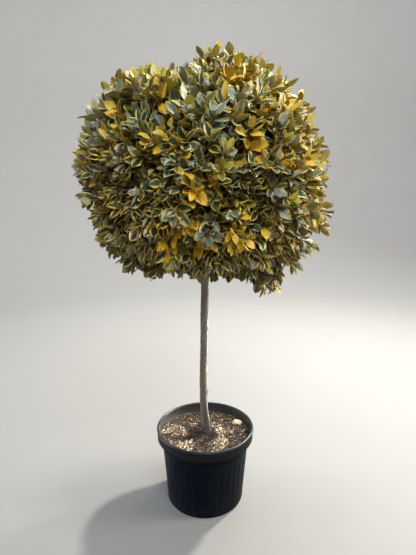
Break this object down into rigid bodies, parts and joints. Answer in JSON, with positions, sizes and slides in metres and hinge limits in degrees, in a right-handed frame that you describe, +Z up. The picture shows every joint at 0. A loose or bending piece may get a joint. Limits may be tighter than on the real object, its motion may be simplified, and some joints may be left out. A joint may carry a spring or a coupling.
{
  "type": "potted half standard elaeagnus",
  "caption": "Evergreen shrub trained as a half standard: a clear stem under a dense round head of gold-edged leaves, standing in a round black nursery pot.",
  "frame": {"origin": "middle of the pot's flat underside", "axes": "+Z up along the stem; the pictured side faces -Y, with +X to the picture's right"},
  "size_m": [1.0712, 1.0373, 2.003],
  "materials": {
    "pot": "black moulded plastic, slightly dusty, with a soft sheen",
    "compost": "loose bark chips over dark compost, dry and matt",
    "bark": "grey-brown bark, smooth with fine ridges and small knots",
    "foliage": "leathery leaves, dark green with gold edges, some wholly gold, scurfy olive undersides"
  },
  "bodies": {
    "root": {"pot": "pot", "compost": "compost", "stem": "bark", "bough_low_1": "bark", "bough_low_2": "bark", "bough_low_3": "bark", "bough_low_4": "bark", "bough_low_5": "bark", "bough_middle_1": "bark", "bough_middle_2": "bark", "bough_middle_3": "bark", "bough_middle_4": "bark", "bough_middle_5": "bark", "bough_middle_6": "bark", "bough_high_1": "bark", "bough_high_2": "bark", "bough_high_3": "bark", "bough_high_4": "bark", "bough_top": "bark", "foliage_low_1": "foliage", "foliage_low_2": "foliage", "foliage_low_3": "foliage", "foliage_low_4": "foliage", "foliage_low_5": "foliage", "foliage_middle_1": "foliage", "foliage_middle_2": "foliage", "foliage_middle_3": "foliage", "foliage_middle_4": "foliage", "foliage_middle_5": "foliage", "foliage_middle_6": "foliage", "foliage_high_1": "foliage", "foliage_high_2": "foliage", "foliage_high_3": "foliage", "foliage_high_4": "foliage", "foliage_top": "foliage"}
  },
  "joints": []
}
